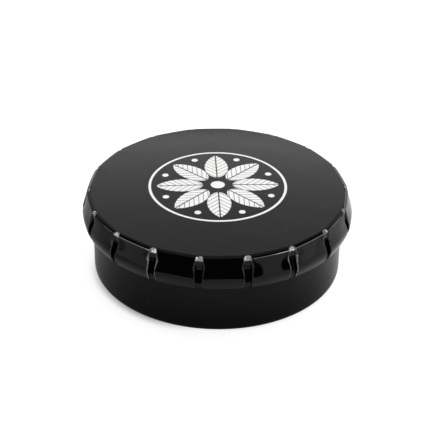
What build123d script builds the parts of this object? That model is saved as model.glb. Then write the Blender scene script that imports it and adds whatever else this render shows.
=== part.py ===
"""Round snap-lid mint tin: a drawn cup with a curled rim, a one-sheet lid crimped over that rim, and loose mints.

The domed middle of the lid is pressed down with a thumb. It snaps through, the skirt springs open and the lid
comes off. The origin is the centre of the underside, +Z is up, and one crimp of the lid stands on +X.
"""

import os
from math import cos, radians, sin, tan

from build123d import *

os.makedirs("parts", exist_ok=True)

# Driving dimensions, in millimetres and degrees
sheet = 0.22  # thickness of the tinplate of cup and lid
cup_radius = 23.15  # outside of the cup's straight wall
tin_height = 16.05  # from the table to the flat border of the lid

# Cup
cup_corner = 1.05  # outside radius between wall and bottom
foot_width = 1.9  # flat ring that the tin stands on, inside the corner
bottom_lift = 0.45  # height of the raised middle of the bottom
bottom_slope = 0.9  # width of the slope between foot and raised middle
bead_radius = 0.42  # outside radius of the curled rim's section
bead_sides = 8  # flats round the curled rim's section
corner_steps = 2  # flats round the cup's corner
rim_drop = 0.36  # free height between the curled rim and the lid's underside

# Lid
crimp_count = 18
skirt_depth = 4.75  # from the flat border down to the lower edge
skirt_flare = 17.0  # slope of the skirt against the vertical, in degrees
turn_in_height = 0.94  # height of the lower edge that turns back in
turn_in = 0.10  # how far it turns in
edge_radius = 0.90  # rounding between border and skirt, outside
edge_steps = 3  # flats round that edge
side_bow_radius = 68.0  # bow of each of the nearly flat sides between two crimps, at the shoulder
skirt_clearance = 0.14  # between the curled rim and the skirt
bead_clearance = 0.06  # between the curled rim and a crimp
grip_clearance = 0.20  # between the crimps and the cup's wall, below the curled rim
slot_radius = 0.68  # nose of a crimp's groove below the curled rim, outside
scoop_radius = 0.82  # nose of the scoop at a crimp's upper end
arch_radius = 0.62  # nose of the arch that the scoop leaves in the flat border
scoop_tilt = 35.0  # slope of the scoop against the vertical, in degrees
under_tilt = 45.0  # slope of the groove's floor under the curled rim, against the vertical
nose_steps = 4  # flats round the nose of a crimp

# Snapping middle of the lid
border_width = 2.65  # flat border between the middle and the rounded edge
crown_radius = 11.0  # flat crown in the middle
dome_rise = 0.62  # of the crown above the flat border
snap_gap = 0.05  # running gap that stands for the flexing sheet

# Mints
mint_diameter = 7.4
mint_thickness = 3.7
mint_gap = 0.45  # between the outer ring of mints and the wall
mint_seat = 0.02  # between a mint and the bottom
mints_in_rings = (1, 5, 6)  # from the middle outwards, as far as the cup has room
ring_twist = 23.0  # turn of each ring against the next one inwards, in degrees

overrun = 0.8  # how far cutting shapes pass beyond what they cut

# Places that follow from the dimensions
inner_radius = cup_radius - sheet
foot_outer = cup_radius - cup_corner
foot_inner = foot_outer - foot_width
rim_top = tin_height - sheet - rim_drop
bead_height = rim_top - bead_radius
bead_centre = inner_radius + bead_radius
bead_reach = bead_centre + bead_radius
skirt_foot = tin_height - skirt_depth
widest_height = skirt_foot + turn_in_height
flare_rate = tan(radians(skirt_flare))
skirt_at_bead = bead_reach + skirt_clearance + sheet / cos(radians(skirt_flare))
shoulder_radius = skirt_at_bead - (tin_height - bead_height) * flare_rate
widest_radius = skirt_at_bead + (bead_height - widest_height) * flare_rate
bow_centre = side_bow_radius - shoulder_radius
edge_reach = edge_radius * tan(radians(90 - skirt_flare) / 2)
panel_radius = shoulder_radius - edge_reach - border_width
sector_angle = 360 / crimp_count
crown_top = tin_height + dome_rise
mint_floor = bottom_lift + sheet + mint_seat
mint_reach = inner_radius - mint_gap - mint_diameter / 2
mint_rings = min(len(mints_in_rings) - 1, int(mint_reach // mint_diameter))
mint_pitch = mint_reach / max(mint_rings, 1)


def steps_along(arc, steps):
    """Points that cut a small arc into equal straight steps."""
    return [arc @ (step / steps) for step in range(steps + 1)]


def lid_form(inset):
    """Filled lid, set in from its outer surface by inset. Each side between two crimps is slightly bowed."""
    below = skirt_foot - (overrun if inset else 0)
    lead_in = turn_in / turn_in_height * overrun
    with BuildPart() as side:
        with BuildSketch(Plane.XZ):
            with BuildLine():
                edge_start = (shoulder_radius - edge_reach, tin_height)
                edge = JernArc(edge_start, (1, 0), edge_radius, skirt_flare - 90, mode=Mode.PRIVATE)
                Polyline(
                    (-overrun, tin_height),
                    *steps_along(edge, edge_steps),
                    (widest_radius, widest_height),
                    (widest_radius - turn_in - lead_in, skirt_foot - overrun),
                    (-overrun, skirt_foot - overrun),
                    close=True,
                )
            make_face()
            if inset:
                offset(amount=-inset, kind=Kind.INTERSECTION)
        revolve(axis=Axis((-bow_centre, 0, 0), (0, 0, 1)))
        with BuildSketch(Plane.XY.offset(below)):
            reach = 2 * widest_radius
            half_width = reach * tan(radians(sector_angle / 2))
            Polygon((0, 0), (reach, -half_width), (reach, half_width), align=None)
        extrude(amount=skirt_depth + overrun + overrun, mode=Mode.INTERSECT)
    with BuildPart() as form:
        with PolarLocations(0, crimp_count, start_angle=sector_angle / 2):
            add(side.part)
    return form.part


def crimp_tool(grow):
    """Cutting shape of one crimp on +X, swollen all round by grow.

    Its floor comes down the scoop, passes round the curled rim and drops to the grip below it.
    """
    stand_off = bead_radius + bead_clearance + sheet - grow
    grip_floor = cup_radius + grip_clearance + sheet - grow
    scoop, under = radians(scoop_tilt), radians(under_tilt)
    scoop_x = bead_centre + stand_off * cos(scoop)
    scoop_z = bead_height + stand_off * sin(scoop)
    under_x = bead_centre + stand_off * cos(under)
    under_z = bead_height - stand_off * sin(under)
    grip_z = under_z - (under_x - grip_floor) / tan(under)
    narrowing = (scoop_radius - arch_radius) / (tin_height - scoop_z)
    rise = tin_height - scoop_z + overrun
    floor = [
        (scoop_x - rise * tan(scoop), scoop_z + rise, scoop_radius - rise * narrowing),
        (scoop_x, scoop_z, scoop_radius),
        (bead_centre + stand_off, bead_height, scoop_radius),
        (under_x, under_z, slot_radius),
        (grip_floor, grip_z, slot_radius),
        (grip_floor, skirt_foot - 2 * overrun, slot_radius),
    ]
    outside = 2 * widest_radius - cup_radius
    with BuildPart() as tool:
        for floor_x, floor_z, nose_radius in floor:
            nose_radius = nose_radius + grow
            with BuildSketch(Plane.XY.offset(floor_z)):
                with BuildLine():
                    nose_start = (floor_x + nose_radius, nose_radius)
                    nose = JernArc(nose_start, (-1, 0), nose_radius, 180, mode=Mode.PRIVATE)
                    Polyline(
                        *steps_along(nose, nose_steps),
                        (outside, -nose_radius),
                        (outside, nose_radius),
                        close=True,
                    )
                make_face()
        loft(ruled=True)
    return tool.part


# Cup, drawn from one disc of sheet, with its rim rolled outwards
with BuildPart() as cup:
    with BuildSketch(Plane.XZ):
        with BuildLine():
            corner_start = (foot_outer, 0)
            corner = JernArc(corner_start, (1, 0), cup_corner, 90, mode=Mode.PRIVATE)
            Polyline(
                (0, bottom_lift),
                (foot_inner - bottom_slope, bottom_lift),
                (foot_inner, 0),
                *steps_along(corner, corner_steps),
                (cup_radius, bead_height),
                (inner_radius, bead_height),
                (inner_radius, cup_corner),
                (foot_outer, sheet),
                (foot_inner, sheet),
                (foot_inner - bottom_slope, bottom_lift + sheet),
                (0, bottom_lift + sheet),
                close=True,
            )
        make_face()
        with Locations((bead_centre, bead_height)):
            RegularPolygon(bead_radius, bead_sides, major_radius=False, rotation=180 / bead_sides)
    revolve(axis=Axis.Z)
cup.part.label = "cup"
export_step(cup.part, "parts/cup.step")

# Outer and inner surface of the lid, each with its crimps
with BuildPart() as lid_outside:
    add(lid_form(0))
    with PolarLocations(0, crimp_count):
        add(crimp_tool(0), mode=Mode.SUBTRACT)
with BuildPart() as lid_inside:
    add(lid_form(sheet))
    with PolarLocations(0, crimp_count):
        add(crimp_tool(sheet), mode=Mode.SUBTRACT)

# Border, rounded edge and crimped skirt of the lid
with BuildPart() as lid_ring:
    add(lid_outside.part)
    add(lid_inside.part, mode=Mode.SUBTRACT)
    with BuildSketch(Plane.XY.offset(skirt_foot)):
        Circle(panel_radius + snap_gap)
    extrude(amount=skirt_depth + overrun, mode=Mode.SUBTRACT)
lid_ring.part.label = "lid_ring"
export_step(lid_ring.part, "parts/lid_ring.step")

# Raised middle of the lid, which snaps through when it is pressed
with BuildPart() as lid_panel:
    with BuildSketch(Plane.XZ):
        with BuildLine():
            upper = [(0, crown_top), (crown_radius, crown_top), (panel_radius, tin_height)]
            lower = [(x, z - sheet) for x, z in reversed(upper)]
            Polyline(*upper, *lower, close=True)
        make_face()
    revolve(axis=Axis.Z)
lid_panel.part.label = "lid_panel"
export_step(lid_panel.part, "parts/lid_panel.step")

# Mints, pressed tablets that lie loose in rings on the bottom
mint_number = 0
for ring, ring_count in enumerate(mints_in_rings[: mint_rings + 1]):
    for place in range(ring_count):
        mint_number += 1
        turn = radians(360 * place / ring_count + ring * ring_twist)
        middle = (ring * mint_pitch * cos(turn), ring * mint_pitch * sin(turn), mint_floor)
        with BuildPart() as mint:
            with BuildSketch(Plane(origin=middle)):
                Circle(mint_diameter / 2)
            extrude(amount=mint_thickness)
        mint.part.label = f"mint_{mint_number:02d}"
        export_step(mint.part, f"parts/{mint.part.label}.step")
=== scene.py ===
import math
import bpy
import numpy as np
from mathutils import Euler, Matrix, Vector


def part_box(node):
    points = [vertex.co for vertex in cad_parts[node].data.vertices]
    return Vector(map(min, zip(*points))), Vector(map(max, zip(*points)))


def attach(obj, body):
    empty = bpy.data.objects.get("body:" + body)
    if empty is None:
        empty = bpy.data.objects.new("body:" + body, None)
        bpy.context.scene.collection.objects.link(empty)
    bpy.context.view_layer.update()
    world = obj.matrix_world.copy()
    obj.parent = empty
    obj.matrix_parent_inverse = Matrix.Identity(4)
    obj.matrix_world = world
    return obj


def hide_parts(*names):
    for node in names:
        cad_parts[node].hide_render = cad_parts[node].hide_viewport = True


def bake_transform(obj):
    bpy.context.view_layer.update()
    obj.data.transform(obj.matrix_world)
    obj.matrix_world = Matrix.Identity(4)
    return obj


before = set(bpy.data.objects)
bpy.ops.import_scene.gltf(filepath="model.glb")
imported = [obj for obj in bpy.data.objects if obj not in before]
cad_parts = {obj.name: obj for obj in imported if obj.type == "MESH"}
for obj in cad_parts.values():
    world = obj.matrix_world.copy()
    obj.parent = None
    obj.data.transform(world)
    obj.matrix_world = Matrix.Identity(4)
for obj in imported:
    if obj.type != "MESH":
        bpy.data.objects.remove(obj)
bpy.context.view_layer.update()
print("frame loaded")

# Lengths are in millimetres and angles in degrees, except where a note says otherwise
mm = 0.001
tiny = 1e-9
lidLow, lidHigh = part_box("lid_ring")
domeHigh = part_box("lid_panel")[1]
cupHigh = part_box("cup")[1]


def smoothMax(a, b, blend):
    # the larger of a and b, with a parabola of width 2 * blend where they meet
    share = np.clip(0.5 + 0.5 * (a - b) / blend, 0, 1)
    return b + (a - b) * share + blend * share * (1 - share)


def smoothStep(x):
    # 0 below 0, 1 above 1, and 3x^2 - 2x^3 between
    x = np.clip(x, 0, 1)
    return x * x * (3 - 2 * x)


def roundedPath(points, radii, steps):
    # straight runs joined by tangent arcs: at each inner point the arc of its radius, in its number of steps
    points = np.array(points, float)
    path = [points[:1]]
    for i in range(1, len(points) - 1):
        before = points[i - 1] - points[i]
        after = points[i + 1] - points[i]
        before = before / np.linalg.norm(before)
        after = after / np.linalg.norm(after)
        half = math.acos(np.clip(before @ after, -1, 1)) / 2
        middle = (before + after) / np.linalg.norm(before + after)
        centre = points[i] + middle * radii[i - 1] / math.sin(half)
        start = points[i] + before * radii[i - 1] / math.tan(half) - centre
        end = points[i] + after * radii[i - 1] / math.tan(half) - centre
        turn = math.atan2(start[0] * end[1] - start[1] * end[0], start @ end)
        angle = np.linspace(0, turn, steps[i - 1] + 1)[:, None]
        quarter = np.array([-start[1], start[0]])
        path.append(centre + start * np.cos(angle) + quarter * np.sin(angle))
    path.append(points[-1:])
    return np.concatenate(path)


def refined(path, spacing):
    # the same path with points added, so that no run is longer than spacing
    rows = [path[:1]]
    for a, b in zip(path[:-1], path[1:]):
        pieces = max(1, math.ceil(np.linalg.norm(b - a) / spacing))
        rows.append(a + (b - a) * (np.arange(1, pieces + 1) / pieces)[:, None])
    return np.concatenate(rows)


def gridMesh(name, places, pole=None, endPole=None):
    # Rows of points round the axis joined into quads, closed round, with a fan to a pole before the first row
    # and to another after the last. Each point keeps its place at rest, for patterns on a sheet that bends.
    rows, columns = places.shape[:2]
    index = np.arange(rows * columns).reshape(rows, columns)
    following = np.roll(index, -1, axis=1)
    quads = np.stack([index[:-1], index[1:], following[1:], following[:-1]], axis=-1).reshape(-1, 4)
    points = places.reshape(-1, 3)
    faces = quads.tolist()
    if pole is not None:
        fan = np.stack([np.full(columns, rows * columns), index[0], following[0]], axis=-1)
        points = np.concatenate([points, np.array([pole], float)])
        faces = fan.tolist() + faces
    if endPole is not None:
        fan = np.stack([index[-1], np.full(columns, len(points)), following[-1]], axis=-1)
        points = np.concatenate([points, np.array([endPole], float)])
        faces = faces + fan.tolist()
    mesh = bpy.data.meshes.new(name)
    mesh.from_pydata((points * mm).tolist(), [], faces)
    mesh.polygons.foreach_set("use_smooth", np.ones(len(mesh.polygons), bool))
    rest = mesh.attributes.new("restPlace", "FLOAT_VECTOR", "POINT")
    rest.data.foreach_set("vector", (points * mm).astype(np.float32).ravel())
    mesh.update()
    piece = bpy.data.objects.new(name, mesh)
    bpy.context.scene.collection.objects.link(piece)
    return piece


def revolved(name, path, columns, pole=None, endPole=None, centre=(0, 0, 0)):
    # each point of the path (radius, height) carried once round a vertical axis through the centre
    angle = np.linspace(0, 2 * np.pi, columns, endpoint=False)[None, :]
    radius = path[:, :1]
    height = np.broadcast_to(path[:, 1:], (len(path), columns))
    places = np.stack([radius * np.cos(angle), radius * np.sin(angle), height], axis=-1)
    return gridMesh(name, places + centre, pole, endPole)


cutEdge = {"share": 0.25, "segments": 2, "sharpAngle": 62.0}


def addSheetThickness(piece, thickness):
    # the wall grows from the modelled face to its other side, and its cut edge is softened by a share of it
    solid = piece.modifiers.new("sheet", "SOLIDIFY")
    solid.thickness = thickness * mm
    solid.offset = -1
    solid.use_even_offset = True
    solid.material_offset = 1
    solid.material_offset_rim = 1
    bevel = piece.modifiers.new("cut edge", "BEVEL")
    bevel.width = thickness * mm * cutEdge["share"]
    bevel.segments = cutEdge["segments"]
    bevel.limit_method = "ANGLE"
    bevel.angle_limit = math.radians(cutEdge["sharpAngle"])
    bevel.harden_normals = False


# Lid: one sheet, domed in the middle, with a rounded edge and a flared skirt crimped over the curled rim.
# Sections of a groove are half the width of its floor, the radius of its corner and that of its lip. The
# lacquer is rubbed thin at the crimps, and the same mark paints highlights on them; it has a share for each
# crimp, from the one on +X round.
lidForm = {
    "sheet": 0.22,
    "borderHeight": lidHigh.z / mm,
    "lowerEdge": lidLow.z / mm - 1.50,  # the sheet hangs lower than the CAD lid, as in the photograph
    "sideReach": lidHigh.y / mm + 0.157,  # out to the widest corner, before that is rounded
    "domeRadius": domeHigh.x / mm,
    "domeRise": 0.60,
    "domeBlend": 0.03,  # softening where the dome runs out
    "crimps": 18,
    "sideBow": 68.0,  # radius of each side between two crimps, at the shoulder
    "flare": 17.0,  # slope of the skirt against the vertical
    "edgeRadius": 0.90,
    "turnInHeight": 1.924,
    "turnIn": 0.777,
    "turnInRadius": 2.63,  # rounding between the skirt and its turned-in foot
    "hem": (0.36, 0.06),  # width and height of the curl at the lower edge
    "hemRadius": 0.34,
    "rimCentre": 23.35,  # middle of the cup's rolled rim in section, with the next
    "rimHeight": 15.05,
    "rimStandOff": 0.70,  # from there to the outer face of a groove's floor
    "rimStraight": 0.60,  # upright stretch of that floor beside the rim
    "gripFloor": 23.46,  # radius of the floor at the grip below the rim
    "leadInHeight": 13.4,  # below it the floor flares out again by the next angle
    "leadIn": 15.5,
    "scoopTilt": 35.0,
    "archSection": (0.28, 0.34, 0.16),
    "scoopSection": (0.44, 0.34, 0.60),
    "slotSection": (0.46, 0.20, 0.20),
    "sectionFall": 2.5,  # height in which the section goes from scoop to slot
    "footDepth": (0.80, 0.32),  # least depth at the widest height and at the lower edge
    "footDepthFrom": 0.8,  # height above the widest in which that least depth comes in
    "archSoftness": 0.10,
    "floorSoftness": 0.20,
    "crimpZone": 1.45,  # half width of a crimp with its lips and a flat stretch
    "measuredAt": 0.7,  # share of the crimp's zone at which the outer face is measured for the depth
    "uncrimped": 1.0,  # width of the border beside the dome that no groove reaches
    "pull": 0.18,  # how far the skirt is pulled in round a crimp, from and to these heights
    "pullFrom": 16.0,
    "pullMost": 13.3,
    "pullLeast": 11.3,
    "pullBelow": 0.5,  # share of the pull that is left at the lowest of them
    # each crimp's share of rubbed lacquer in its scoop, which is also a painted highlight, brighter or dimmer
    # crimp by crimp
    "scoopWearAndHighlight": (0.80,) * 10 + (0.72, 0.84, 1.0, 0.91, 1.0, 0.76, 0.46, 0.60),
    "scoopWearAndHighlightDepth": 0.08,
    "scoopWearAndHighlightFrom": 0.1,
    "scoopWearAndHighlightRise": 0.2,
    # each crimp's share on its lips: a little wear, and on two crimps a strong painted highlight
    "lipWearAndHighlight": (0.04,) * 10 + (0.10, 0.22, 0.80, 0.09, 0.11, 0.80, 0.22, 0.10),
    "lipWearAndHighlightDepth": 0.5,
    "domeRows": 10,
    "arcSteps": (12, 9, 4),
    "rowSpacing": 0.27,
    "sectionColumns": (2, 3, 2, 4, 4),
    "sideColumns": 4,
}


def lidRows(form):
    # dome h (1 - (r/R)^2) from the middle to the rounded edge, flared skirt, turned-in foot and curled hem
    border, reach, foot = form["borderHeight"], form["sideReach"], form["lowerEdge"]
    flare = math.radians(form["flare"])
    widestHeight = foot + form["turnInHeight"]
    shoulder = reach - (border - widestHeight) * math.tan(flare)
    hemWidth, hemHeight = form["hem"]
    hemStart = reach - form["turnIn"]
    corners = [
        (form["domeRadius"], border),
        (shoulder, border),
        (reach, widestHeight),
        (hemStart, foot + hemHeight),
        (hemStart - hemWidth, foot),
    ]
    radii = (form["edgeRadius"], form["turnInRadius"], form["hemRadius"])
    outline = refined(roundedPath(corners, radii, form["arcSteps"]), form["rowSpacing"])
    radius = form["domeRadius"] * np.arange(1, form["domeRows"] + 1) / form["domeRows"]
    dome = np.stack([radius, np.full_like(radius, border)], axis=-1)
    edgeStart = shoulder - form["edgeRadius"] * math.tan((math.pi / 2 - flare) / 2)
    for rows in (dome, outline):
        rise = smoothMax(1 - (rows[:, 0] / edgeStart) ** 2, 0, form["domeBlend"])
        rows[:, 1] += form["domeRise"] * rise
    return dome, outline, shoulder


def crimpFloor(x, z, form):
    # Depth of the groove under each point (x, z) of the outer face, and the direction of that depth.
    # Above the rolled rim it follows the slope of the scoop, beside it a short upright stretch, and below
    # it a slope down to the grip, which flares out again. In the foot it falls evenly to the lower edge.
    tilt = math.radians(form["scoopTilt"])
    standOff = form["rimStandOff"]
    alongX, alongZ = x - form["rimCentre"], z - form["rimHeight"]
    elevation = np.arctan2(alongZ, alongX)
    angle = np.clip(elevation, 0, tilt)
    out = np.stack([np.cos(angle), np.sin(angle)], axis=-1)
    beside = alongX * out[..., 0] + alongZ * out[..., 1] - standOff
    # below the rim: a circle about it down to 45 degrees, and from there its tangent
    below = np.maximum(-alongZ - form["rimStraight"], 0)
    circleDrop = standOff * math.sin(math.pi / 4)
    drop = np.minimum(below, circleDrop)
    circle = form["rimCentre"] + np.sqrt(standOff**2 - drop**2)
    slope = circle - np.maximum(below - circleDrop, 0)
    flared = np.maximum(form["leadInHeight"] - z, 0) * math.tan(math.radians(form["leadIn"]))
    floor = smoothMax(slope, form["gripFloor"] + flared, form["floorSoftness"])
    depth = np.where(elevation < 0, x - floor, beside)
    upper, lower = form["footDepth"]
    widest = form["lowerEdge"] + form["turnInHeight"]
    least = lower + (upper - lower) * (z - form["lowerEdge"]) / form["turnInHeight"]
    least = least * smoothStep((widest + form["footDepthFrom"] - z) / form["footDepthFrom"])
    return smoothMax(depth, least, form["archSoftness"]), out


def skirtPull(z, form):
    # how far the skirt is pulled in round a crimp: rising to its most at half height, then easing off
    most = form["pullMost"]
    pull = form["pull"] * smoothStep((form["pullFrom"] - z) / (form["pullFrom"] - most))
    return pull * (1 - (1 - form["pullBelow"]) * smoothStep((most - z) / (most - form["pullLeast"])))


def grooveSections(z, form):
    # section of the groove at each height, passing from the arch over the scoop into the slot below
    arch = smoothStep((form["borderHeight"] - z) / (form["borderHeight"] - form["rimHeight"]))
    slot = smoothStep((form["rimHeight"] - z) / form["sectionFall"])
    sections = [np.array(form[name])[None, :] for name in ("archSection", "scoopSection", "slotSection")]
    section = sections[0] + (sections[1] - sections[0]) * arch
    section = section + (sections[2] - section) * slot
    return section[:, :1], section[:, 1:2], section[:, 2:]


def acrossGroove(depth, half, corner, lip, form):
    # Half a section across the groove, by its length: floor, arc of the corner, wall, arc of the lip, flat.
    # Where the groove is deep the columns keep to these stretches, and where it ends they spread evenly.
    # Given back are the places across, the depths there and how far along the lip each point is.
    beta = np.arccos(np.clip(1 - depth / (corner + lip), 0, 1))
    wall = np.maximum(depth - corner - lip, 0)
    lipEnd = half + (corner + lip) * np.sin(beta)
    lengths = np.concatenate([half, corner * beta, wall, lip * beta, form["crimpZone"] - lipEnd], axis=1)
    ends = np.concatenate([np.zeros_like(half), np.cumsum(lengths, axis=1)], axis=1)
    steps = np.concatenate([[0], np.cumsum(form["sectionColumns"])])
    columns = np.arange(steps[-1] + 1)
    even = ends[:, -1:] * columns[None, :] / steps[-1]
    fitted = np.stack([np.interp(columns, steps, row) for row in ends])
    s = even + (fitted - even) * smoothStep(depth / (corner + lip))
    onCorner, onWall, onLip, onFlat = (s - ends[:, i : i + 1] for i in range(1, 5))
    cornerAngle = np.clip(onCorner / corner, 0, beta)
    lipAngle = np.clip(beta - onLip / lip, 0, beta)
    y = np.where(onCorner < 0, s, half + corner * np.sin(cornerAngle))
    y = np.where(onLip > 0, lipEnd - lip * np.sin(lipAngle), y)
    y = np.where(onFlat > 0, lipEnd + onFlat, y)
    down = depth - corner * (1 - np.cos(cornerAngle)) - np.clip(onWall, 0, wall)
    down = np.where(onLip > 0, lip * (1 - np.cos(lipAngle)), down)
    down = np.where(onFlat > 0, 0, np.maximum(down, 0))
    return y, down, np.clip(onLip / np.maximum(lip * beta, tiny), 0, 1)


def bothHalves(half, sign=1):
    # half a crimp and its mirror image, from the middle of one side to that of the next
    return np.concatenate([sign * half[:, :0:-1], half[:, :-1]], axis=1)


def wearAndHighlightShare(z, depth, down, along, shape, form):
    # How much the lacquer is rubbed thin where the sheet was stretched, which also paints the crimps'
    # highlights, by each crimp's own share: in the scoop, from the arch down to the rolled rim, and on the
    # lips as the sine of the way across them. Dome and sides have none.
    above = (z - form["rimHeight"] - form["scoopWearAndHighlightFrom"]) / form["scoopWearAndHighlightRise"]
    scoop = smoothStep(down / form["scoopWearAndHighlightDepth"]) * smoothStep(above)
    lips = np.sin(np.pi * along) * smoothStep(depth / form["lipWearAndHighlightDepth"])
    shares = []
    for zone, wear in ((scoop, form["scoopWearAndHighlight"]), (lips, form["lipWearAndHighlight"])):
        full = np.zeros(shape)
        full[-len(zone):, : zone.shape[1]] = zone
        full = bothHalves(full)
        shares.append(np.tile(full, (1, form["crimps"])) * np.repeat(wear, full.shape[1]))
    return np.maximum(*shares)


def makeLid(form):
    # Each side between two crimps is an arc about a far centre, which the border starts to follow at the
    # dome, and round a crimp it is pulled in by pull (1 - (y/half)^2)^3. The grooves go down from that face.
    dome, outline, shoulder = lidRows(form)
    sector = math.radians(180 / form["crimps"])
    r, z = outline[:, :1], outline[:, 1:]
    follow = smoothStep((r - form["domeRadius"]) / (shoulder - form["edgeRadius"] - form["domeRadius"]))
    centre = (form["sideBow"] - shoulder) * follow
    halfSide = r * math.sin(sector)
    pull = skirtPull(z, form)

    def outerX(y):
        across = np.abs(y) + centre * math.sin(sector)
        dent = pull * (1 - np.clip(y / halfSide, -1, 1) ** 2) ** 3
        return np.sqrt((r + centre) ** 2 - across**2) - centre * math.cos(sector) - dent

    zone = form["crimpZone"]
    reference = outerX(np.full_like(r, form["measuredAt"] * zone))
    depth, out = crimpFloor(reference, z, form)
    depth[outline[:, 0] < form["domeRadius"] + form["uncrimped"]] = 0
    grooveY, down, along = acrossGroove(depth, *grooveSections(z, form), form)
    keep = 1 - down / np.maximum(depth, tiny)
    grooveX = reference - down * out[..., :1].reshape(-1, 1) + (outerX(grooveY) - reference) * keep
    grooveZ = z - down * out[..., 1:].reshape(-1, 1)
    # flat side, from the crimp's zone to the middle of the side
    share = np.arange(1, form["sideColumns"] + 1)[None, :] / form["sideColumns"]
    sideY = zone + (halfSide - zone) * share
    x = np.concatenate([grooveX, outerX(sideY)], axis=1)
    y = np.concatenate([grooveY, sideY], axis=1)
    height = np.concatenate([grooveZ, np.broadcast_to(z, sideY.shape)], axis=1)
    # the dome's rings keep the angles of the border's first row
    inner = dome[:-1, :1] / form["domeRadius"]
    x = np.concatenate([inner * x[:1], x])
    y = np.concatenate([inner * y[:1], y])
    height = np.concatenate([np.broadcast_to(dome[:-1, 1:], (len(inner), height.shape[1])), height])
    # lacquer rubbed thin at the crimps, partly wear and partly painted highlight
    wearAndHighlight = wearAndHighlightShare(z, depth, down, along, x.shape, form)
    # both halves of a crimp, turned to the place of every crimp
    x, y, height = (bothHalves(half, sign)[:, None, :] for half, sign in ((x, 1), (y, -1), (height, 1)))
    turn = (np.arange(form["crimps"]) * 2 * sector)[None, :, None]
    turnedX = x * np.cos(turn) - y * np.sin(turn)
    turnedY = x * np.sin(turn) + y * np.cos(turn)
    places = np.stack([turnedX, turnedY, np.broadcast_to(height, turnedX.shape)], axis=-1)
    places = places.reshape(len(x), -1, 3)
    lid = gridMesh("lid", places, (0, 0, form["borderHeight"] + form["domeRise"]))
    # the rubbed lacquer and painted highlights, kept for the lid's material
    values = lid.data.attributes.new("wearAndHighlight", "FLOAT", "POINT")
    values.data.foreach_set("value", np.append(wearAndHighlight.ravel(), 0).astype(np.float32))
    addSheetThickness(lid, form["sheet"])
    return lid


lid = makeLid(lidForm)
print("lid", len(lid.data.polygons))

# Cup: one drawn sheet, with a raised bottom, a foot ring and the rim rolled outwards
cupForm = {
    "sheet": 0.22,
    "wallRadius": 23.15,
    "rollRadius": 0.42,
    "rollTurn": 275.0,
    "rollSteps": 22,
    "corner": 1.05,
    "footWidth": 1.9,
    "bottomLift": 0.45,
    "bottomSlope": 0.9,
    "slopeRadii": (0.8, 0.5),
    "arcSteps": (5, 5, 8),
    "firstRing": 2.0,
    "rowSpacing": 2.5,
    "columns": 240,
}


def makeCup(form):
    # inner face of the sheet from the middle of the bottom outwards, up the wall and round the roll
    sheet, corner, roll = form["sheet"], form["corner"], form["rollRadius"]
    inside = form["wallRadius"] - sheet
    footInner = form["wallRadius"] - corner - form["footWidth"]
    raised = form["bottomLift"] + sheet
    rollHeight = cupHigh.z / mm - roll
    corners = [
        (form["firstRing"], raised),
        (footInner - form["bottomSlope"], raised),
        (footInner, sheet),
        (inside, sheet),
        (inside, rollHeight),
    ]
    radii = (*form["slopeRadii"], corner - sheet)
    bottom = refined(roundedPath(corners, radii, form["arcSteps"]), form["rowSpacing"])
    angle = np.radians(180 - np.linspace(0, form["rollTurn"], form["rollSteps"] + 1))[1:]
    rolled = np.stack([inside + roll + roll * np.cos(angle), rollHeight + roll * np.sin(angle)], axis=-1)
    cup = revolved("cupShell", np.concatenate([bottom, rolled]), form["columns"], (0, 0, raised))
    addSheetThickness(cup, sheet)
    return cup


cup = makeCup(cupForm)
print("cup", len(cup.data.polygons))

# Mints: domed tablets with a belt, in the places of the loose ones in the cup
mintForm = {
    "beltShare": 0.60,
    "beltRows": (0.5, 0.0, -0.5),
    "bulgePower": 2.4,
    "columns": 48,
    "faceRows": 8,
}


def makeMint(name, node, form):
    # a belt, and above and below it a face that falls off as bulge * (r/R)^power
    low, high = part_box(node)
    centre = np.array([low.x + high.x, low.y + high.y, low.z + high.z]) / 2 / mm
    radius, half = (high.x - low.x) / 2 / mm, (high.z - low.z) / 2 / mm
    belt = form["beltShare"] * half
    share = np.sin(np.linspace(0, np.pi / 2, form["faceRows"] + 1))[1:]
    face = np.stack([radius * share, half - (half - belt) * share ** form["bulgePower"]], axis=-1)
    rows = belt * np.array(form["beltRows"])
    side = np.stack([np.full_like(rows, radius), rows], axis=-1)
    path = np.concatenate([face, side, face[::-1] * (1, -1)])
    return revolved(name, path, form["columns"], centre + (0, 0, half), centre - (0, 0, half), centre)


mints = []
for node in sorted(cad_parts):
    if node.startswith("mint_"):
        mint = makeMint(node.replace("mint_", "mintTablet"), node, mintForm)
        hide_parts(node)
        mints.append(mint)
print("mints", len(mints))


# Looks
def newMaterial(name):
    # a material with its node tree and its Principled shader
    material = bpy.data.materials.new(name)
    material.use_nodes = True
    return material, material.node_tree, material.node_tree.nodes["Principled BSDF"]


def feed(tree, socket, value):
    # a link from another socket, or a plain value
    if isinstance(value, bpy.types.NodeSocket):
        tree.links.new(value, socket)
    else:
        socket.default_value = value


def calc(tree, operation, *values):
    # one Math node, fed with numbers or sockets
    node = tree.nodes.new("ShaderNodeMath")
    node.operation = operation
    for socket, value in zip(node.inputs, values):
        feed(tree, socket, value)
    return node.outputs[0]


def ramp(tree, value, start, end, low=0.0, high=1.0):
    # a smooth rise from low at start to high at end
    node = tree.nodes.new("ShaderNodeMapRange")
    node.interpolation_type = "SMOOTHSTEP"
    for socket, setting in zip(node.inputs, (value, start, end, low, high)):
        feed(tree, socket, setting)
    return node.outputs[0]


# Short names for the three operations that are used most
def times(tree, a, b):
    return calc(tree, "MULTIPLY", a, b)


def plus(tree, a, b):
    return calc(tree, "ADD", a, b)


def minus(tree, a, b):
    return calc(tree, "SUBTRACT", a, b)


def farOut(tree, x, y):
    # distance from the axis: the root of x^2 + y^2
    return calc(tree, "SQRT", plus(tree, times(tree, x, x), times(tree, y, y)))


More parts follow.
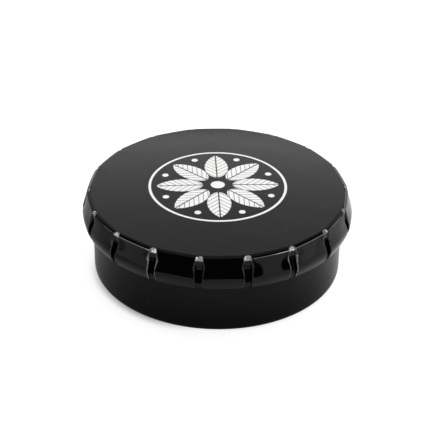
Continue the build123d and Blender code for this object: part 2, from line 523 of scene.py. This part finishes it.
def noise(tree, place, scale, detail=2.0, roughness=0.5):
    # soft noise from 0 to 1
    node = tree.nodes.new("ShaderNodeTexNoise")
    feed(tree, node.inputs["Vector"], place)
    node.inputs["Scale"].default_value = scale
    node.inputs["Detail"].default_value = detail
    node.inputs["Roughness"].default_value = roughness
    return node.outputs["Fac"]


def attribute(tree, name, output="Vector"):
    # a value that the mesh holds for each of its points
    node = tree.nodes.new("ShaderNodeAttribute")
    node.attribute_name = name
    return node.outputs[output]


def separated(tree, place):
    # the three parts of a vector
    node = tree.nodes.new("ShaderNodeSeparateXYZ")
    tree.links.new(place, node.inputs[0])
    return node.outputs


def mixColour(tree, factor, a, b):
    # a at factor 0 and b at factor 1
    node = tree.nodes.new("ShaderNodeMix")
    node.data_type = "RGBA"
    feed(tree, node.inputs[0], factor)
    feed(tree, node.inputs[6], a)
    feed(tree, node.inputs[7], b)
    return node.outputs[2]


def newGroup(name, inputs, outputs):
    # a node group with the given sockets: inputs (name, kind, value), outputs (name, kind)
    group = bpy.data.node_groups.new(name, "ShaderNodeTree")
    for label, kind, value in inputs:
        socket = group.interface.new_socket(label, in_out="INPUT", socket_type=kind)
        if value is not None:
            socket.default_value = value
    for label, kind in outputs:
        group.interface.new_socket(label, in_out="OUTPUT", socket_type=kind)
    return group, group.nodes.new("NodeGroupInput").outputs, group.nodes.new("NodeGroupOutput").inputs


def useGroup(tree, group, **values):
    # a node group in a tree, with its inputs fed by name
    node = tree.nodes.new("ShaderNodeGroup")
    node.node_tree = group
    for label, value in values.items():
        feed(tree, node.inputs[label], value)
    return node.outputs


# Noises are given as scale, detail and roughness, and ranges as the values where a mask starts and is full
finishLook = {
    "ripple": (260, 1),
    "grain": (6500, 2),
    "smudge": (140, 4, 0.62),
    "smudgeRange": (0.42, 0.72),
    "speckScale": 700,
    "speckRarity": 0.93,
    "speckRange": (0.09, 0.03),
}


def makeSheetFinish(look):
    # rolled and coated sheet: a long soft ripple, a fine grain, faint smudges and a few specks of dust
    group, given, result = newGroup(
        "sheetFinish",
        [
            ("Place", "NodeSocketVector", None),
            ("Ripple", "NodeSocketFloat", 1.0),
            ("Grain", "NodeSocketFloat", 1.0),
        ],
        [("Height", "NodeSocketFloat"), ("Smudge", "NodeSocketFloat"), ("Speck", "NodeSocketFloat")],
    )
    place = given["Place"]
    ripple = times(group, noise(group, place, *look["ripple"]), given["Ripple"])
    grain = times(group, noise(group, place, *look["grain"]), given["Grain"])
    group.links.new(plus(group, ripple, grain), result["Height"])
    smudge = ramp(group, noise(group, place, *look["smudge"]), *look["smudgeRange"])
    group.links.new(smudge, result["Smudge"])
    cells = group.nodes.new("ShaderNodeTexVoronoi")
    feed(group, cells.inputs["Vector"], place)
    cells.inputs["Scale"].default_value = look["speckScale"]
    chosen = group.nodes.new("ShaderNodeSeparateColor")
    group.links.new(cells.outputs["Color"], chosen.inputs[0])
    rare = calc(group, "GREATER_THAN", chosen.outputs[0], look["speckRarity"])
    dot = ramp(group, cells.outputs["Distance"], *look["speckRange"])
    group.links.new(times(group, rare, dot), result["Speck"])
    return group


ornament = {
    "leaves": 8,
    "leafStart": 2.7,
    "leafEnd": 11.3,
    "leafWidth": 2.2,
    "leafPowers": (0.6, 0.75),
    "leafFullness": 2.53,  # brings the highest value of t^0.6 (1-t)^0.75 to 1
    "serration": 0.16,
    "ribRange": (0.07, 0.16),
    "veinSpacing": 0.62,
    "veinRange": (0.03, 0.11),
    "ringRadius": 12.55,
    "ringWidth": 0.24,
    "dotRadius": 0.6,
    "dotPlace": 10.4,
    "heartRadius": 1.3,
    "softness": 0.05,
}


def makeLeafOrnament(form):
    # Rosette of leaves. In polar coordinates one leaf is folded onto the next; its half width at share t of
    # its length goes as t^0.6 (1-t)^0.75, and a midrib and slanting veins are left open.
    group, given, result = newGroup(
        "leafOrnament", [("Place", "NodeSocketVector", None)], [("Mask", "NodeSocketFloat")]
    )
    parts = separated(group, given["Place"])
    x, y = (calc(group, "DIVIDE", parts[i], mm) for i in (0, 1))
    radius = farOut(group, x, y)
    fold = math.pi / form["leaves"]
    angle = calc(group, "WRAP", calc(group, "ARCTAN2", y, x), fold, -fold)
    along = times(group, radius, calc(group, "COSINE", angle))
    across = times(group, radius, calc(group, "ABSOLUTE", calc(group, "SINE", angle)))

    def inside(distance):
        return ramp(group, distance, -form["softness"], form["softness"])

    # leaf with scalloped sides, open along its midrib and veins
    length = form["leafEnd"] - form["leafStart"]
    share = calc(group, "DIVIDE", minus(group, along, form["leafStart"]), length)
    share = calc(group, "MINIMUM", calc(group, "MAXIMUM", share, 0.0), 1.0)
    fromStart = calc(group, "POWER", share, form["leafPowers"][0])
    fromEnd = calc(group, "POWER", minus(group, 1.0, share), form["leafPowers"][1])
    shape = times(group, fromStart, fromEnd)
    onLeaf = times(group, share, length)
    teeth = calc(group, "PINGPONG", onLeaf, form["veinSpacing"])
    full = times(group, shape, form["leafFullness"] * form["leafWidth"])
    bites = times(group, times(group, teeth, form["serration"]), shape)
    leaf = inside(minus(group, minus(group, full, bites), across))
    rib = ramp(group, across, *form["ribRange"])
    slant = calc(group, "PINGPONG", minus(group, onLeaf, across), form["veinSpacing"])
    vein = ramp(group, slant, *form["veinRange"])
    leaf = times(group, leaf, times(group, rib, vein))
    # ring round the leaves, a dot between each two tips, and the round heart
    offRing = calc(group, "ABSOLUTE", minus(group, radius, form["ringRadius"]))
    ring = inside(minus(group, form["ringWidth"], offRing))
    dotX = minus(group, along, form["dotPlace"] * math.cos(fold))
    dotY = minus(group, across, form["dotPlace"] * math.sin(fold))
    dot = inside(minus(group, form["dotRadius"], farOut(group, dotX, dotY)))
    heart = inside(minus(group, form["heartRadius"], radius))
    outer = calc(group, "MAXIMUM", leaf, ring)
    inner = calc(group, "MAXIMUM", dot, heart)
    group.links.new(calc(group, "MAXIMUM", outer, inner), result["Mask"])
    return group


def addBump(tree, shader, height, strength, distance):
    # the height tilts the shader's normal
    bump = tree.nodes.new("ShaderNodeBump")
    bump.inputs["Strength"].default_value = strength
    bump.inputs["Distance"].default_value = distance
    tree.links.new(height, bump.inputs["Height"])
    tree.links.new(bump.outputs[0], shader.inputs["Normal"])


lacquerLook = {
    "colour": (0.001, 0.001, 0.001, 1),
    "dustColour": (0.35, 0.35, 0.34, 1),
    "bump": 0.02,
}
lidLook = {
    "printColour": (0.93, 0.93, 0.92, 1),
    "printRoughness": 0.45,
    # the rubbed lacquer: bare tin, which also stands in for the highlights on the crimps
    "wornAndHighlightColour": (0.46, 0.46, 0.45, 1),
    "wornAndHighlightMetal": 0.10,
    "wornAndHighlightRoughness": 0.3,
    "wornAndHighlightNoise": (2400, 3, 0.6),
    "wornAndHighlightRange": (0.30, 0.52),
    "specular": 0.13,
    "satinRoughness": 0.28,
    "grazingRoughness": 0.9,
    "grazingRange": (0.55, 0.635),
    "glossRoughness": 0.07,
    "satinRange": (23.6, 23.1),
    "ripple": 1.0,
    "grain": 0.02,
    "smudge": 0.03,
    "dust": 0.35,
}


def makeLidLacquer(lacquer, look, finish, leaves):
    # Black lacquer, satin inside the rounded edge and glossy outside it, with the ornament printed on it.
    # It is rubbed thin where the sheet was stretched, which also paints highlights on the crimps, and the
    # satin scatters more at a low angle of sight.
    material, tree, shader = newMaterial("lidLacquer")
    place = attribute(tree, "restPlace")
    wornAndHighlightMask = attribute(tree, "wearAndHighlight", "Fac")
    sheet = useGroup(tree, finish, Place=place, Ripple=look["ripple"], Grain=look["grain"])
    printed = useGroup(tree, leaves, Place=place)["Mask"]
    parts = separated(tree, place)
    satin = ramp(tree, farOut(tree, parts[0], parts[1]), *(edge * mm for edge in look["satinRange"]))
    # rubbed lacquer, partly wear and partly painted highlight, broken up by noise
    rubbedAndHighlight = ramp(tree, noise(tree, place, *look["wornAndHighlightNoise"]), *look["wornAndHighlightRange"])
    rubbedAndHighlight = times(tree, wornAndHighlightMask, rubbedAndHighlight)
    colour = mixColour(tree, printed, lacquer["colour"], look["printColour"])
    dust = times(tree, sheet["Speck"], look["dust"])
    colour = mixColour(tree, dust, colour, lacquer["dustColour"])
    tree.links.new(mixColour(tree, rubbedAndHighlight, colour, look["wornAndHighlightColour"]), shader.inputs["Base Color"])
    tree.links.new(times(tree, rubbedAndHighlight, look["wornAndHighlightMetal"]), shader.inputs["Metallic"])
    facing = tree.nodes.new("ShaderNodeLayerWeight").outputs["Facing"]
    scattered = ramp(tree, facing, *look["grazingRange"], look["satinRoughness"], look["grazingRoughness"])
    roughness = ramp(tree, satin, 0, 1, look["glossRoughness"], scattered)
    roughness = plus(tree, roughness, times(tree, sheet["Smudge"], look["smudge"]))
    roughness = ramp(tree, printed, 0, 1, roughness, look["printRoughness"])
    tree.links.new(ramp(tree, rubbedAndHighlight, 0, 1, roughness, look["wornAndHighlightRoughness"]), shader.inputs["Roughness"])
    shader.inputs["Specular IOR Level"].default_value = look["specular"]
    addBump(tree, shader, sheet["Height"], lacquer["bump"], mm)
    return material


cupLook = {
    "specular": 0.09,
    "roughness": 0.10,
    "ripple": 1.4,
    "grain": 0.03,
    "smudge": 0.06,
    "dust": 0.25,
}


def makeCupLacquer(lacquer, look, finish):
    # the same black lacquer, glossy, with smudges and dust
    material, tree, shader = newMaterial("cupLacquer")
    place = attribute(tree, "restPlace")
    sheet = useGroup(tree, finish, Place=place, Ripple=look["ripple"], Grain=look["grain"])
    dust = times(tree, sheet["Speck"], look["dust"])
    colour = mixColour(tree, dust, lacquer["colour"], lacquer["dustColour"])
    tree.links.new(colour, shader.inputs["Base Color"])
    roughness = plus(tree, look["roughness"], times(tree, sheet["Smudge"], look["smudge"]))
    tree.links.new(roughness, shader.inputs["Roughness"])
    shader.inputs["Specular IOR Level"].default_value = look["specular"]
    addBump(tree, shader, sheet["Height"], lacquer["bump"], mm)
    return material


tinLook = {
    "colour": (0.62, 0.61, 0.58, 1),
    "lineShade": 0.93,
    "lineStretch": (1, 40, 1),
    "lineNoise": (420, 3),
    "lineRange": (0.3, 0.7),
    "roughness": (0.27, 0.31),
    "ripple": 1.0,
    "grain": 0.05,
    "smudge": 0.08,
    "bump": 0.02,
}


def makeBareTin(look, finish):
    # tinplate as rolled: fine lines along one direction, slightly darker and smoother
    material, tree, shader = newMaterial("bareTin")
    place = attribute(tree, "restPlace")
    sheet = useGroup(tree, finish, Place=place, Ripple=look["ripple"], Grain=look["grain"])
    stretch = tree.nodes.new("ShaderNodeMapping")
    stretch.inputs["Scale"].default_value = look["lineStretch"]
    tree.links.new(place, stretch.inputs["Vector"])
    lines = noise(tree, stretch.outputs[0], *look["lineNoise"])
    dark = tuple(look["lineShade"] * value for value in look["colour"][:3]) + (1,)
    tree.links.new(mixColour(tree, lines, dark, look["colour"]), shader.inputs["Base Color"])
    shader.inputs["Metallic"].default_value = 1
    roughness = ramp(tree, lines, *look["lineRange"], *look["roughness"])
    roughness = plus(tree, roughness, times(tree, sheet["Smudge"], look["smudge"]))
    tree.links.new(roughness, shader.inputs["Roughness"])
    addBump(tree, shader, sheet["Height"], look["bump"], mm)
    return material


mintLook = {
    "colour": (0.86, 0.87, 0.84, 1),
    "mottledColour": (0.78, 0.80, 0.76, 1),
    "mottledNoise": (420, 3),
    "mottledRange": (0.3, 0.7),
    "mottledStrength": 0.25,
    "fleckColour": (0.42, 0.66, 0.60, 1),
    "fleckNoise": (1500, 3, 0.7),
    "fleckRange": (0.63, 0.72),
    "fleckStrength": 0.7,
    "pitNoises": ((2600, 3), (900, 2)),
    "widePits": 0.6,
    "bump": 0.25,
    "pitDepth": 0.2,
    "roughness": 0.78,
    "specular": 0.3,
}


def makePressedMint(look):
    # chalky pressed sugar: small pits, and flecks of pale green
    material, tree, shader = newMaterial("pressedMint")
    place = tree.nodes.new("ShaderNodeTexCoord").outputs["Object"]
    mottled = noise(tree, place, *look["mottledNoise"])
    mottled = ramp(tree, mottled, *look["mottledRange"], 0.0, look["mottledStrength"])
    shade = mixColour(tree, mottled, look["colour"], look["mottledColour"])
    fleck = ramp(tree, noise(tree, place, *look["fleckNoise"]), *look["fleckRange"])
    fleck = times(tree, fleck, look["fleckStrength"])
    tree.links.new(mixColour(tree, fleck, shade, look["fleckColour"]), shader.inputs["Base Color"])
    shader.inputs["Roughness"].default_value = look["roughness"]
    shader.inputs["Specular IOR Level"].default_value = look["specular"]
    fine, wide = (noise(tree, place, *pit) for pit in look["pitNoises"])
    pits = plus(tree, fine, times(tree, wide, look["widePits"]))
    addBump(tree, shader, pits, look["bump"], look["pitDepth"] * mm)
    return material


sheetFinish = makeSheetFinish(finishLook)
lidLacquer = makeLidLacquer(lacquerLook, lidLook, sheetFinish, makeLeafOrnament(ornament))
cupLacquer = makeCupLacquer(lacquerLook, cupLook, sheetFinish)
bareTin = makeBareTin(tinLook, sheetFinish)
pressedMint = makePressedMint(mintLook)
print("materials")

for piece, faces in ((lid, (lidLacquer, bareTin)), (cup, (bareTin, cupLacquer))):
    for material in faces:
        piece.data.materials.append(material)
for mint in mints:
    mint.data.materials.append(pressedMint)
    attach(mint, "base")

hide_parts("lid_ring", "lid_panel")
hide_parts("cup")
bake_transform(lid)
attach(cup, "base")

# Camera, light, cards and floor
view = {
    "elevation": 31.94,
    "azimuth": -92.845,
    "distance": 263.93,
    "targetHeight": 6.25,
    "roll": 0.80,
    "lens": 114.545,
    "sensor": 36.0,
    "shiftX": 0.00662,
    "shiftY": 0.02838,
    "clip": (10.0, 10000.0),
}


def addCamera(view):
    # on a sphere about the tin's axis, looking at the target height, and rolled about its line of sight
    data = bpy.data.cameras.new("camera")
    camera = bpy.data.objects.new("camera", data)
    bpy.context.scene.collection.objects.link(camera)
    elevation, azimuth = math.radians(view["elevation"]), math.radians(view["azimuth"])
    camera.location = (
        view["distance"] * mm * math.cos(elevation) * math.cos(azimuth),
        view["distance"] * mm * math.cos(elevation) * math.sin(azimuth),
        (view["targetHeight"] + view["distance"] * math.sin(elevation)) * mm,
    )
    camera.rotation_mode = "XYZ"
    upright = Euler((math.pi / 2 - elevation, 0, azimuth + math.pi / 2)).to_matrix()
    roll = Matrix.Rotation(math.radians(view["roll"]), 3, "Z")
    camera.rotation_euler = (upright @ roll).to_euler()
    data.sensor_width = view["sensor"]
    data.lens = view["lens"]
    data.shift_x = view["shiftX"]
    data.shift_y = view["shiftY"]
    data.clip_start, data.clip_end = (distance * mm for distance in view["clip"])
    bpy.context.scene.camera = camera


addCamera(view)

# The world's strength for its light and where it is seen
sky = {"light": 0.5, "seen": 1.0}


def makeWorld(sky):
    # seen straight, or by a glossy or clear surface, the world is white; the light that it gives is weaker
    world = bpy.data.worlds.new("studio")
    bpy.context.scene.world = world
    world.use_nodes = True
    tree = world.node_tree
    background = tree.nodes["Background"]
    background.inputs["Color"].default_value = (1, 1, 1, 1)
    path = tree.nodes.new("ShaderNodeLightPath").outputs
    seen = calc(tree, "MAXIMUM", path["Is Camera Ray"], path["Is Glossy Ray"])
    seen = calc(tree, "MAXIMUM", seen, path["Is Transmission Ray"])
    tree.links.new(ramp(tree, seen, 0, 1, sky["light"], sky["seen"]), background.inputs["Strength"])
    bpy.context.scene.view_settings.view_transform = "Standard"


# Lamps: their place as degrees beside the camera, degrees above the floor and distance, their size, their
# glow as a radiance, and whether they light the scene and whether they show as reflections
lamps = {
    "keyLamp": {"place": (128, 74, 500), "size": (480, 480), "glow": 2, "lights": True, "shows": False},
    "backLamp": {"place": (172, 15, 700), "size": (1000, 170), "glow": 2.1, "lights": True, "shows": True},
    "rightStrip": {"place": (61, 16, 500), "size": (590, 90), "glow": 14, "lights": False, "shows": True},
    "leftStrip": {"place": (-67, 16, 500), "size": (344, 90), "glow": 15, "lights": False, "shows": True},
    "rightCore": {"place": (55, 16, 490), "size": (150, 90), "glow": 38, "lights": False, "shows": True},
    "leftCore": {"place": (-58, 16, 490), "size": (120, 90), "glow": 44, "lights": False, "shows": True},
    "rightTall": {"place": (111, 1.3, 500), "size": (90, 30), "glow": 12.5, "lights": False, "shows": True},
    "leftTall": {"place": (-99, 1.3, 500), "size": (80, 30), "glow": 12.5, "lights": False, "shows": True},
}


def direction(azimuth, elevation):
    # unit vector from the tin, by degrees beside the camera and above the floor
    turn, rise = math.radians(view["azimuth"] + azimuth), math.radians(elevation)
    return Vector((math.cos(rise) * math.cos(turn), math.cos(rise) * math.sin(turn), math.sin(rise)))


def addLamps(lamps):
    # power = glow * pi * area, and each lamp faces the lid
    for name, lamp in lamps.items():
        azimuth, elevation, distance = lamp["place"]
        data = bpy.data.lights.new(name, "AREA")
        data.shape = "RECTANGLE"
        data.size, data.size_y = (side * mm for side in lamp["size"])
        data.energy = lamp["glow"] * math.pi * data.size * data.size_y
        piece = bpy.data.objects.new(name, data)
        outward = direction(azimuth, elevation)
        piece.location = outward * distance * mm + Vector((0, 0, lidHigh.z))
        piece.rotation_euler = outward.to_track_quat("Z", "Y").to_euler()
        piece.visible_diffuse = lamp["lights"]
        piece.visible_glossy = lamp["shows"]
        bpy.context.scene.collection.objects.link(piece)


# Cards about the tin, which only its reflections show: their radius, from where to where in degrees beside
# the camera, from which height to which, and their brightness
cardSteps = 4.0
cards = {
    "frontCard": {"radius": 85, "span": (-51, 31), "heights": (0, 91), "glow": 0.05},
    "upperCard": {"radius": 290, "span": (-120, 120), "heights": (145, 430), "glow": 0.05},
    "leftUpperCard": {"radius": 200, "span": (-135, -88), "heights": (20, 112), "glow": 0.40},
    "ceilingCard": {"radius": 300, "span": (-180, 180), "heights": (350, 1500), "glow": 0.65},
    "rightCard": {"radius": 110, "span": (47, 62), "heights": (0, 22), "glow": 0.0},
    "farRightCard": {"radius": 110, "span": (92, 100), "heights": (0, 22), "glow": 0.0},
    "leftCard": {"radius": 110, "span": (-92, -80), "heights": (0, 22), "glow": 0.0},
    "nearRightGlow": {"radius": 115, "span": (31, 50), "heights": (0, 26), "glow": 1.6},
    "rightGlow": {"radius": 115, "span": (64, 90), "heights": (0, 26), "glow": 1.9},
    "leftGlow": {"radius": 115, "span": (-79, -52), "heights": (0, 26), "glow": 1.3},
}


def addCards(cards):
    # upright strips of a cylinder about the tin, a few degrees to each face
    for name, form in cards.items():
        start, end = form["span"]
        steps = math.ceil((end - start) / cardSteps)
        turn = np.radians(view["azimuth"] + np.linspace(start, end, steps + 1))
        foot = np.stack([form["radius"] * np.cos(turn), form["radius"] * np.sin(turn), 0 * turn], axis=-1)
        points = np.concatenate([foot + (0, 0, height) for height in form["heights"]]) * mm
        first = np.arange(steps)
        faces = np.stack([first, first + steps + 1, first + steps + 2, first + 1], axis=-1)
        mesh = bpy.data.meshes.new(name)
        mesh.from_pydata(points.tolist(), [], faces.tolist())
        material, tree, shader = newMaterial(name)
        shader.inputs["Base Color"].default_value = (0, 0, 0, 1)
        shader.inputs["Specular IOR Level"].default_value = 0
        shader.inputs["Emission Color"].default_value = (1, 1, 1, 1)
        shader.inputs["Emission Strength"].default_value = form["glow"]
        mesh.materials.append(material)
        piece = bpy.data.objects.new(name, mesh)
        bpy.context.scene.collection.objects.link(piece)
        piece.visible_camera = False
        piece.visible_diffuse = False
        piece.visible_shadow = False


# The paper's glow where it is seen, and in reflections from its dark to its bright side. Shades start and
# end at a distance from the axis.
paper = {
    "halfWidth": 3000.0,
    "colour": (0.45, 0.45, 0.45, 1),
    "roughness": 0.9,
    "seenGlow": 0.80,
    "mirroredGlow": (0.18, 0.86),
    "brightSide": 45.0,
    "brightReach": 35.0,
    "nearShade": (22.0, 38.0),
    "nearShare": 0.36,  # of the mirrored glow that is left where the shade starts
    "contactSide": -52.0,
    "contactSpread": (0.7, 1.0),  # cosine of the angle beside that side where the shade starts and is full
    "contactShade": (24.5, 22.5),
    "contactStrength": 0.60,  # share of the seen glow that it takes away
}


def addFloor(look):
    # a wide pale sheet, lifted towards white where it is seen
    half = look["halfWidth"] * mm
    corners = [(-half, -half, 0), (half, -half, 0), (half, half, 0), (-half, half, 0)]
    mesh = bpy.data.meshes.new("floor")
    mesh.from_pydata(corners, [], [(0, 1, 2, 3)])
    floor = bpy.data.objects.new("floor", mesh)
    bpy.context.scene.collection.objects.link(floor)
    material, tree, shader = newMaterial("floorPaper")
    mesh.materials.append(material)
    shader.inputs["Base Color"].default_value = look["colour"]
    shader.inputs["Roughness"].default_value = look["roughness"]
    shader.inputs["Specular IOR Level"].default_value = 0.0
    shader.inputs["Emission Color"].default_value = (1, 1, 1, 1)
    x, y, _ = separated(tree, tree.nodes.new("ShaderNodeTexCoord").outputs["Object"])
    radius = farOut(tree, x, y)

    def towards(azimuth):
        # distance along the floor in a direction beside the camera
        side = direction(azimuth, 0)
        return plus(tree, times(tree, x, side.x), times(tree, y, side.y))

    # in reflections the paper is darker close to the tin and on the side away from the light
    reach = look["brightReach"] * mm
    mirrored = ramp(tree, towards(look["brightSide"]), -reach, reach, *look["mirroredGlow"])
    start, end = (edge * mm for edge in look["nearShade"])
    mirrored = times(tree, mirrored, ramp(tree, radius, start, end, look["nearShare"], 1.0))
    # where it is looked at, the lift fades close to the cup on the side away from the key lamp
    start, end = (edge * mm for edge in look["contactShade"])
    contact = ramp(tree, radius, start, end, 0.0, look["contactStrength"])
    beside = calc(tree, "DIVIDE", towards(look["contactSide"]), radius)
    contact = times(tree, contact, ramp(tree, beside, *look["contactSpread"]))
    lift = times(tree, minus(tree, 1.0, contact), look["seenGlow"])
    path = tree.nodes.new("ShaderNodeLightPath").outputs
    direct = calc(tree, "MAXIMUM", path["Is Camera Ray"], path["Is Transmission Ray"])
    glow = plus(tree, times(tree, direct, lift), times(tree, path["Is Glossy Ray"], mirrored))
    tree.links.new(glow, shader.inputs["Emission Strength"])


makeWorld(sky)
addLamps(lamps)
addCards(cards)
addFloor(paper)
print("studio")
